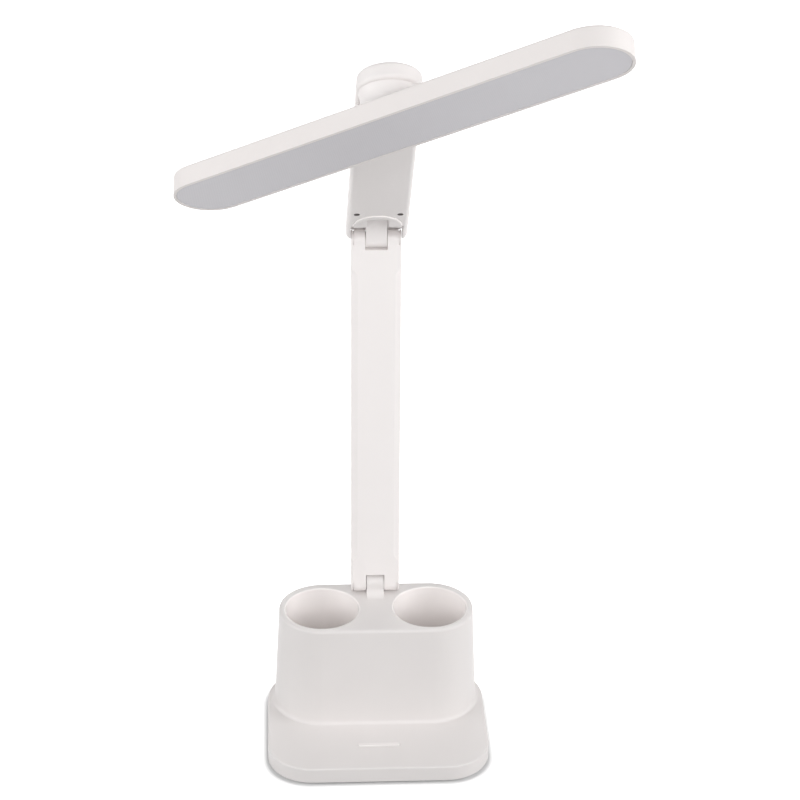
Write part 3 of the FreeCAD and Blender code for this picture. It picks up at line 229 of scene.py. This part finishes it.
def bore_pair_group():
    """1 inside a pair of round bores that mirror each other left and right."""
    tree = bpy.data.node_groups.new("bore_pair", "ShaderNodeTree")
    socket_in(tree, "Place", "Vector")
    socket_in(tree, "Axis", "Vector", (0.0, 0.0, 1.0))
    socket_in(tree, "Inner", "Float", 0.01)
    socket_in(tree, "Outer", "Float", 0.011)
    socket_out(tree, "Mask", "Float")
    inside = add_node(tree, "NodeGroupInput", (-900, 0))
    result = add_node(tree, "NodeGroupOutput", (700, 0))
    coords = add_node(tree, "ShaderNodeTexCoord", (-900, 300))
    parts = add_node(tree, "ShaderNodeSeparateXYZ", (-700, 300))
    side = add_node(tree, "ShaderNodeMath", (-500, 400), operation="ABSOLUTE")
    folded = add_node(tree, "ShaderNodeCombineXYZ", (-300, 300))
    offset = add_node(tree, "ShaderNodeVectorMath", (-100, 200), operation="SUBTRACT")
    across = add_node(tree, "ShaderNodeVectorMath", (100, 200), operation="CROSS_PRODUCT")
    reach = add_node(tree, "ShaderNodeVectorMath", (300, 200), operation="LENGTH")
    mask = add_node(tree, "ShaderNodeMapRange", (500, 100))
    link = tree.links.new
    link(coords.outputs["Object"], parts.inputs["Vector"])
    link(parts.outputs["X"], side.inputs[0])
    link(side.outputs[0], folded.inputs["X"])
    link(parts.outputs["Y"], folded.inputs["Y"])
    link(parts.outputs["Z"], folded.inputs["Z"])
    link(folded.outputs["Vector"], offset.inputs[0])
    link(inside.outputs["Place"], offset.inputs[1])
    link(offset.outputs["Vector"], across.inputs[0])
    link(inside.outputs["Axis"], across.inputs[1])
    link(across.outputs["Vector"], reach.inputs[0])
    link(reach.outputs["Value"], mask.inputs["Value"])
    link(inside.outputs["Outer"], mask.inputs["From Min"])
    link(inside.outputs["Inner"], mask.inputs["From Max"])
    link(mask.outputs["Result"], result.inputs["Mask"])
    return tree


MOULDED_SKIN = moulded_skin_group()
TURNED_METAL = turned_metal_group()
BORE_PAIR = bore_pair_group()


def new_finish(name, **constants):
    """A material with a Principled shader whose constant values are set on its own sockets."""
    material = bpy.data.materials.new(name)
    material.use_nodes = True
    tree = material.node_tree
    shader = tree.nodes["Principled BSDF"]
    for socket, value in constants.items():
        shader.inputs[socket.replace("_", " ")].default_value = value
    return material, tree, shader


def moulded_plastic(name, color, shade, roughness, drift=0.06, grain=2600.0, **constants):
    """Injection-moulded plastic with a fine even grain."""
    material, tree, shader = new_finish(name, **constants)
    skin = add_node(tree, "ShaderNodeGroup", (-600, 200), node_tree=MOULDED_SKIN)
    skin.inputs["Color"].default_value = (*color, 1.0)
    skin.inputs["Shade"].default_value = (*shade, 1.0)
    skin.inputs["Roughness"].default_value = roughness
    skin.inputs["Drift"].default_value = drift
    skin.inputs["Grain Scale"].default_value = grain
    bump = add_node(tree, "ShaderNodeBump", (-300, -200), inputs={
        "Strength": GRAIN_STRENGTH, "Distance": GRAIN_DEPTH})
    tree.links.new(skin.outputs["Color"], shader.inputs["Base Color"])
    tree.links.new(skin.outputs["Roughness"], shader.inputs["Roughness"])
    tree.links.new(skin.outputs["Height"], bump.inputs["Height"])
    tree.links.new(bump.outputs["Normal"], shader.inputs["Normal"])
    return material


def paint_light_and_shade_in_bores(material, color, place, axis, inner, outer, polished=False):
    """Give a plastic another colour inside a mirrored pair of bores: lighter in the pen wells as painted
    light, darker in the screw holes as painted shade.
    """
    tree = material.node_tree
    shader = tree.nodes["Principled BSDF"]
    plain = shader.inputs["Base Color"].links[0].from_socket
    bores = add_node(tree, "ShaderNodeGroup", (-600, 600), node_tree=BORE_PAIR)
    bores.inputs["Place"].default_value = place
    bores.inputs["Axis"].default_value = axis
    bores.inputs["Inner"].default_value = inner
    bores.inputs["Outer"].default_value = outer
    tint = add_node(tree, "ShaderNodeMix", (-250, 500), data_type="RGBA")
    tint.inputs["B"].default_value = (*color, 1.0)
    tree.links.new(bores.outputs["Mask"], tint.inputs["Factor"])
    tree.links.new(plain, tint.inputs["A"])
    tree.links.new(tint.outputs["Result"], shader.inputs["Base Color"])
    if polished:
        tree.links.new(bores.outputs["Mask"], shader.inputs["Coat Weight"])
    return material


def prism_panel(name, color, shade, roughness, **constants):
    """Milky light panel with rows of tiny prisms along and across the bar, their crests painted lighter and
    their troughs darker as painted light and shade.
    """
    material, tree, shader = new_finish(name, Roughness=roughness, **constants)
    turn = math.radians(BAR_TURN)
    along = NECK_FACING.to_track_quat("-Y", "Z").to_matrix() @ Vector((math.cos(turn), 0, math.sin(turn)))
    coords = add_node(tree, "ShaderNodeTexCoord", (-1300, 200))
    waves = []
    for place, direction in ((300, along), (0, along.cross(NECK_FACING))):
        run = add_node(tree, "ShaderNodeVectorMath", (-1100, place), operation="DOT_PRODUCT")
        run.inputs[1].default_value = direction
        turns = add_node(tree, "ShaderNodeMath", (-900, place), operation="MULTIPLY",
                         inputs={1: 2 * math.pi / PRISM_PITCH})
        wave = add_node(tree, "ShaderNodeMath", (-700, place), operation="SINE")
        tree.links.new(coords.outputs["Object"], run.inputs[0])
        tree.links.new(run.outputs["Value"], turns.inputs[0])
        tree.links.new(turns.outputs[0], wave.inputs[0])
        waves.append(wave)
    prisms = add_node(tree, "ShaderNodeMath", (-500, 150), operation="MULTIPLY")
    facet_height_and_shade = add_node(tree, "ShaderNodeMapRange", (-300, 150), inputs={"From Min": -1.0, "From Max": 1.0})
    # Painted light and shade: the crests take the lighter colour and the troughs the darker one
    tint = add_node(tree, "ShaderNodeMix", (-100, 300), data_type="RGBA")
    tint.inputs["A"].default_value = (*shade, 1.0)
    tint.inputs["B"].default_value = (*color, 1.0)
    bump = add_node(tree, "ShaderNodeBump", (-100, -100), inputs={
        "Strength": PRISM_STRENGTH, "Distance": PRISM_DEPTH})
    tree.links.new(waves[0].outputs[0], prisms.inputs[0])
    tree.links.new(waves[1].outputs[0], prisms.inputs[1])
    tree.links.new(prisms.outputs[0], facet_height_and_shade.inputs["Value"])
    tree.links.new(facet_height_and_shade.outputs["Result"], tint.inputs["Factor"])
    tree.links.new(tint.outputs["Result"], shader.inputs["Base Color"])
    tree.links.new(facet_height_and_shade.outputs["Result"], bump.inputs["Height"])
    tree.links.new(bump.outputs["Normal"], shader.inputs["Normal"])
    return material


def turned_metal(name, color, shade, roughness):
    """Small turned or stamped metal parts."""
    material, tree, shader = new_finish(name, Metallic=1.0)
    marks = add_node(tree, "ShaderNodeGroup", (-600, 200), node_tree=TURNED_METAL)
    marks.inputs["Color"].default_value = (*color, 1.0)
    marks.inputs["Shade"].default_value = (*shade, 1.0)
    marks.inputs["Roughness"].default_value = roughness
    tree.links.new(marks.outputs["Color"], shader.inputs["Base Color"])
    tree.links.new(marks.outputs["Roughness"], shader.inputs["Roughness"])
    return material


FINISHES = {
    "white_shell": moulded_plastic("white_shell_plastic", *SHELL_WHITE, SHELL_ROUGHNESS,
                                   Specular_IOR_Level=SHELL_GLOSS),
    # Painted light and shade on the diffuser's prisms: lighter crests, darker troughs
    "diffuser": prism_panel("milky_diffuser_painted_facets", (0.682, 0.668, 0.697), (0.586, 0.574, 0.602), 0.42),
    "key": moulded_plastic("touch_key_plastic", (0.86, 0.826, 0.816), (0.84, 0.806, 0.796), 0.35),
    "foot_pad": moulded_plastic("foot_pad_rubber", (0.03, 0.03, 0.03), (0.02, 0.02, 0.02), 0.75, grain=1200.0),
    "steel": turned_metal("plated_steel", (0.36, 0.36, 0.372), (0.26, 0.26, 0.27), 0.34),
    "black_screw": turned_metal("blackened_steel", (0.05, 0.05, 0.055), (0.03, 0.03, 0.033), 0.35),
    "washer": moulded_plastic("washer_nylon", (0.75, 0.73, 0.69), (0.70, 0.68, 0.64), 0.5),
    "cell": moulded_plastic("cell_wrap", (0.30, 0.33, 0.37), (0.26, 0.29, 0.33), 0.35),
    "board": moulded_plastic("board_resist", (0.01, 0.09, 0.03), (0.01, 0.07, 0.02), 0.35),
    "strip": moulded_plastic("strip_resist", (0.75, 0.75, 0.72), (0.70, 0.70, 0.67), 0.4),
    "chip": moulded_plastic("chip_phosphor", (0.85, 0.68, 0.16), (0.80, 0.62, 0.13), 0.3),
    "foil": turned_metal("copper_foil", (0.72, 0.38, 0.22), (0.6, 0.3, 0.17), 0.3),
}


def screw_hole_place():
    """Middle of the right screw in the neck's front half."""
    low, high = (Vector(corner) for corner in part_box("neck_screws"))
    return (SCREW_HOLE_X, (low.y + high.y) / 2, (low.z + high.z) / 2)


OWN_FINISHES = {
    # Painted light: the base's pen wells are painted whiter inside, and get a clear polish there
    "base_shell": paint_light_and_shade_in_bores(
        moulded_plastic("base_shell_plastic_painted_light_and_shade", *BASE_WHITE_PARTLY_SHADED, SHELL_ROUGHNESS, Specular_IOR_Level=SHELL_GLOSS,
                        Coat_Roughness=WELL_GLOSS_ROUGHNESS),
        WELL_PAINTED_LIGHT, WELL_PLACE, (0, 0, 1), WELL_RADIUS, WELL_RADIUS + LIP_WIDTH, polished=True),
    # Painted shade: the bar housing takes the darker copy of the shell's white
    "head_housing": moulded_plastic("head_housing_plastic_painted_shade", *BAR_SHADED_WHITE, SHELL_ROUGHNESS,
                                    Specular_IOR_Level=SHELL_GLOSS),
    # Painted shade: the neck cover's screw holes are painted dark grey inside
    "neck_cover": paint_light_and_shade_in_bores(
        moulded_plastic("neck_cover_plastic_painted_hole_shade", *SHELL_WHITE, SHELL_ROUGHNESS, Specular_IOR_Level=SHELL_GLOSS),
        HOLE_PAINTED_SHADE, screw_hole_place(), NECK_FACING, SCREW_HOLE_RADIUS, SCREW_HOLE_RADIUS + HOLE_EDGE),
}


def dress_nodes():
    """Give every piece of the lamp its finish."""
    slots = {part["node"]: part["material_slot"] for part in frame["record"]["subparts"]}
    for name, piece in frame["nodes"].items():
        piece.data.materials.clear()
        piece.data.materials.append(OWN_FINISHES.get(name) or FINISHES[slots[name]])


def swivel_foot():
    """Flared foot of the bar's swivel boss, running out into the bar's back."""
    profile = [(FOOT_RADIUS, -FOOT_SINK)]
    for step in range(FOOT_STEPS + 1):
        angle = math.radians(90 * step / FOOT_STEPS)
        profile.append((FOOT_RADIUS - (FOOT_RADIUS - WAIST_RADIUS) * math.sin(angle),
                        FOOT_HEIGHT * (1 - math.cos(angle))))
    for step in range(1, FOOT_STEPS + 1):
        share = step / FOOT_STEPS
        profile.append((WAIST_RADIUS + (LIP_RADIUS - WAIST_RADIUS) * share ** 2,
                        FOOT_HEIGHT + (SLEEVE_HEIGHT - FOOT_HEIGHT) * share))
    profile += [(SLEEVE_BORE, SLEEVE_HEIGHT), (SLEEVE_BORE, -FOOT_SINK)]
    middle = Vector(SWIVEL["pos_m"]) + NECK_FACING * BAR_BACK
    side = Vector((1, 0, 0))
    upward = NECK_FACING.cross(side)
    verts, faces = [], []
    for k in range(FOOT_AROUND):
        angle = 2 * math.pi * k / FOOT_AROUND
        outward = side * math.cos(angle) + upward * math.sin(angle)
        verts += [middle + outward * radius - NECK_FACING * height for radius, height in profile]
    rows = len(profile)
    for k in range(FOOT_AROUND):
        here, there = k * rows, (k + 1) % FOOT_AROUND * rows
        for row in range(rows):
            after = (row + 1) % rows
            faces.append((here + row, there + row, there + after, here + after))
    mesh = bpy.data.meshes.new("swivel_foot")
    mesh.from_pydata(verts, [], faces)
    shell = bmesh.new()
    shell.from_mesh(mesh)
    bmesh.ops.recalc_face_normals(shell, faces=shell.faces)
    shell.to_mesh(mesh)
    shell.free()
    mesh.shade_smooth()
    mesh.set_sharp_from_angle(angle=SHARP_ANGLE)
    mesh.materials.append(FINISHES["white_shell"])
    foot = bpy.data.objects.new("swivel_foot", mesh)
    scene.collection.objects.link(foot)
    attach(foot, "head")


def studio_camera():
    """Camera above and in front of the lamp, looking down at it."""
    yaw, pitch, roll = math.radians(CAMERA_YAW), math.radians(CAMERA_PITCH), math.radians(CAMERA_ROLL)
    ahead = Vector((math.sin(yaw) * math.cos(pitch), math.cos(yaw) * math.cos(pitch), math.sin(pitch)))
    level = ahead.cross(Vector((0, 0, 1))).normalized()
    upright = level.cross(ahead)
    right = level * math.cos(roll) + upright * math.sin(roll)
    up = upright * math.cos(roll) - level * math.sin(roll)
    camera = bpy.data.objects.new("studio_camera", bpy.data.cameras.new("studio_camera"))
    camera.matrix_world = Matrix.Translation(CAMERA_PLACE) @ Matrix((right, up, -ahead)).transposed().to_4x4()
    camera.data.sensor_width = SENSOR
    camera.data.lens = CAMERA_LENS
    camera.data.clip_end = CAMERA_REACH
    scene.collection.objects.link(camera)
    scene.camera = camera


def seen_directly(tree, place):
    """1 where the camera, a reflection or a clear part looks straight at the surface."""
    path = add_node(tree, "ShaderNodeLightPath", place)
    glossy = add_node(tree, "ShaderNodeMath", (place[0] + 200, place[1]), operation="MAXIMUM")
    clear = add_node(tree, "ShaderNodeMath", (place[0] + 400, place[1]), operation="MAXIMUM")
    tree.links.new(path.outputs["Is Camera Ray"], glossy.inputs[0])
    tree.links.new(path.outputs["Is Glossy Ray"], glossy.inputs[1])
    tree.links.new(glossy.outputs[0], clear.inputs[0])
    tree.links.new(path.outputs["Is Transmission Ray"], clear.inputs[1])
    return clear.outputs[0]


def white_floor():
    """Wide white table top; its glow, seen only by the eye, paints it white from a few millimetres outside the
    plate and hides the lamp's shadow there, while at the plate's edge the glow fades to almost nothing, which
    keeps the contact shadow and adds a thin painted shade along the edge.
    """
    mesh = bpy.data.meshes.new("white_floor")
    signs = ((-1, -1), (1, -1), (1, 1), (-1, 1))
    mesh.from_pydata([(x * FLOOR_REACH, y * FLOOR_REACH, 0) for x, y in signs], [], [(0, 1, 2, 3)])
    floor = bpy.data.objects.new("white_floor", mesh)
    scene.collection.objects.link(floor)
    material, tree, shader = new_finish("white_table", Roughness=0.9, Specular_IOR_Level=0.0)
    seen = seen_directly(tree, (-1300, -300))
    tint = add_node(tree, "ShaderNodeMix", (-300, 200), data_type="RGBA")
    tint.inputs["A"].default_value = (FLOOR_BOUNCE, FLOOR_BOUNCE, FLOOR_BOUNCE, 1.0)
    tint.inputs["B"].default_value = (FLOOR_SEEN, FLOOR_SEEN, FLOOR_SEEN, 1.0)
    low, high = (Vector(end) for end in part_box("base_shell"))
    straight = (high - low) / 2 - Vector((PLATE_CORNER, PLATE_CORNER, 0))
    coords = add_node(tree, "ShaderNodeTexCoord", (-1900, -600))
    offset = add_node(tree, "ShaderNodeVectorMath", (-1700, -600), operation="SUBTRACT")
    offset.inputs[1].default_value = ((low.x + high.x) / 2, (low.y + high.y) / 2, 0)
    folded = add_node(tree, "ShaderNodeVectorMath", (-1500, -600), operation="ABSOLUTE")
    past = add_node(tree, "ShaderNodeVectorMath", (-1300, -600), operation="SUBTRACT")
    past.inputs[1].default_value = (straight.x, straight.y, 0)
    outside = add_node(tree, "ShaderNodeVectorMath", (-1100, -600), operation="MAXIMUM")
    outside.inputs[1].default_value = (0, 0, 0)
    reach = add_node(tree, "ShaderNodeVectorMath", (-900, -600), operation="LENGTH")
    # Glow by distance from the plate's outline: painted shade along the plate's edge, painted light over the
    # shadow further out
    far_off = add_node(tree, "ShaderNodeMapRange", (-700, -600), inputs={
        "From Min": PLATE_CORNER + GLOW_STARTS, "From Max": PLATE_CORNER + GLOW_ENDS,
        "To Min": GLOW_NEAR, "To Max": GLOW_FAR})
    level = add_node(tree, "ShaderNodeMath", (-300, -400), operation="MULTIPLY")
    glow = add_node(tree, "ShaderNodeEmission", (0, -300))
    glow.inputs["Color"].default_value = (1.0, 1.0, 1.0, 1.0)
    both = add_node(tree, "ShaderNodeAddShader", (300, -100))
    tree.links.new(seen, tint.inputs["Factor"])
    tree.links.new(tint.outputs["Result"], shader.inputs["Base Color"])
    tree.links.new(coords.outputs["Object"], offset.inputs[0])
    tree.links.new(offset.outputs["Vector"], folded.inputs[0])
    tree.links.new(folded.outputs["Vector"], past.inputs[0])
    tree.links.new(past.outputs["Vector"], outside.inputs[0])
    tree.links.new(outside.outputs["Vector"], reach.inputs[0])
    tree.links.new(reach.outputs["Value"], far_off.inputs["Value"])
    tree.links.new(seen, level.inputs[0])
    tree.links.new(far_off.outputs["Result"], level.inputs[1])
    tree.links.new(level.outputs[0], glow.inputs["Strength"])
    tree.links.new(shader.outputs[0], both.inputs[0])
    tree.links.new(glow.outputs[0], both.inputs[1])
    tree.links.new(both.outputs[0], tree.nodes["Material Output"].inputs["Surface"])
    mesh.materials.append(material)


def studio_world():
    """White to the eye; as light, bright from the front and dim from behind."""
    world = bpy.data.worlds.new("studio_world")
    world.use_nodes = True
    scene.world = world
    tree = world.node_tree
    surround = tree.nodes["Background"]
    surround.inputs["Color"].default_value = (1.0, 1.0, 1.0, 1.0)
    coords = add_node(tree, "ShaderNodeTexCoord", (-1000, 0))
    parts = add_node(tree, "ShaderNodeSeparateXYZ", (-800, 0))
    front_to_back = add_node(tree, "ShaderNodeMapRange", (-600, 0), inputs={
        "From Min": -1.0, "From Max": 1.0, "To Min": FRONT_LIGHT, "To Max": BACK_LIGHT})
    level = add_node(tree, "ShaderNodeMix", (-300, 100), data_type="FLOAT", inputs={"B": 1.0})
    tree.links.new(coords.outputs["Generated"], parts.inputs["Vector"])
    tree.links.new(parts.outputs["Y"], front_to_back.inputs["Value"])
    tree.links.new(front_to_back.outputs["Result"], level.inputs["A"])
    tree.links.new(seen_directly(tree, (-1000, 300)), level.inputs["Factor"])
    tree.links.new(level.outputs["Result"], surround.inputs["Strength"])


def soft_box(name, place, size, power):
    """A large soft lamp aimed at the middle of the desk lamp."""
    light = bpy.data.lights.new(name, "AREA")
    light.shape = "RECTANGLE"
    light.size, light.size_y = size
    light.energy = power
    box = bpy.data.objects.new(name, light)
    aim = Vector(LIGHT_TARGET) - Vector(place)
    box.matrix_world = Matrix.Translation(place) @ aim.to_track_quat("-Z", "Y").to_matrix().to_4x4()
    scene.collection.objects.link(box)


def studio_lights():
    """Soft light from both sides and from behind, and one from in front at the height of the camera."""
    for box in SOFT_BOXES:
        soft_box(*box)


dress_nodes()
swivel_foot()
studio_camera()
white_floor()
studio_world()
studio_lights()
scene.view_settings.view_transform = "Standard"
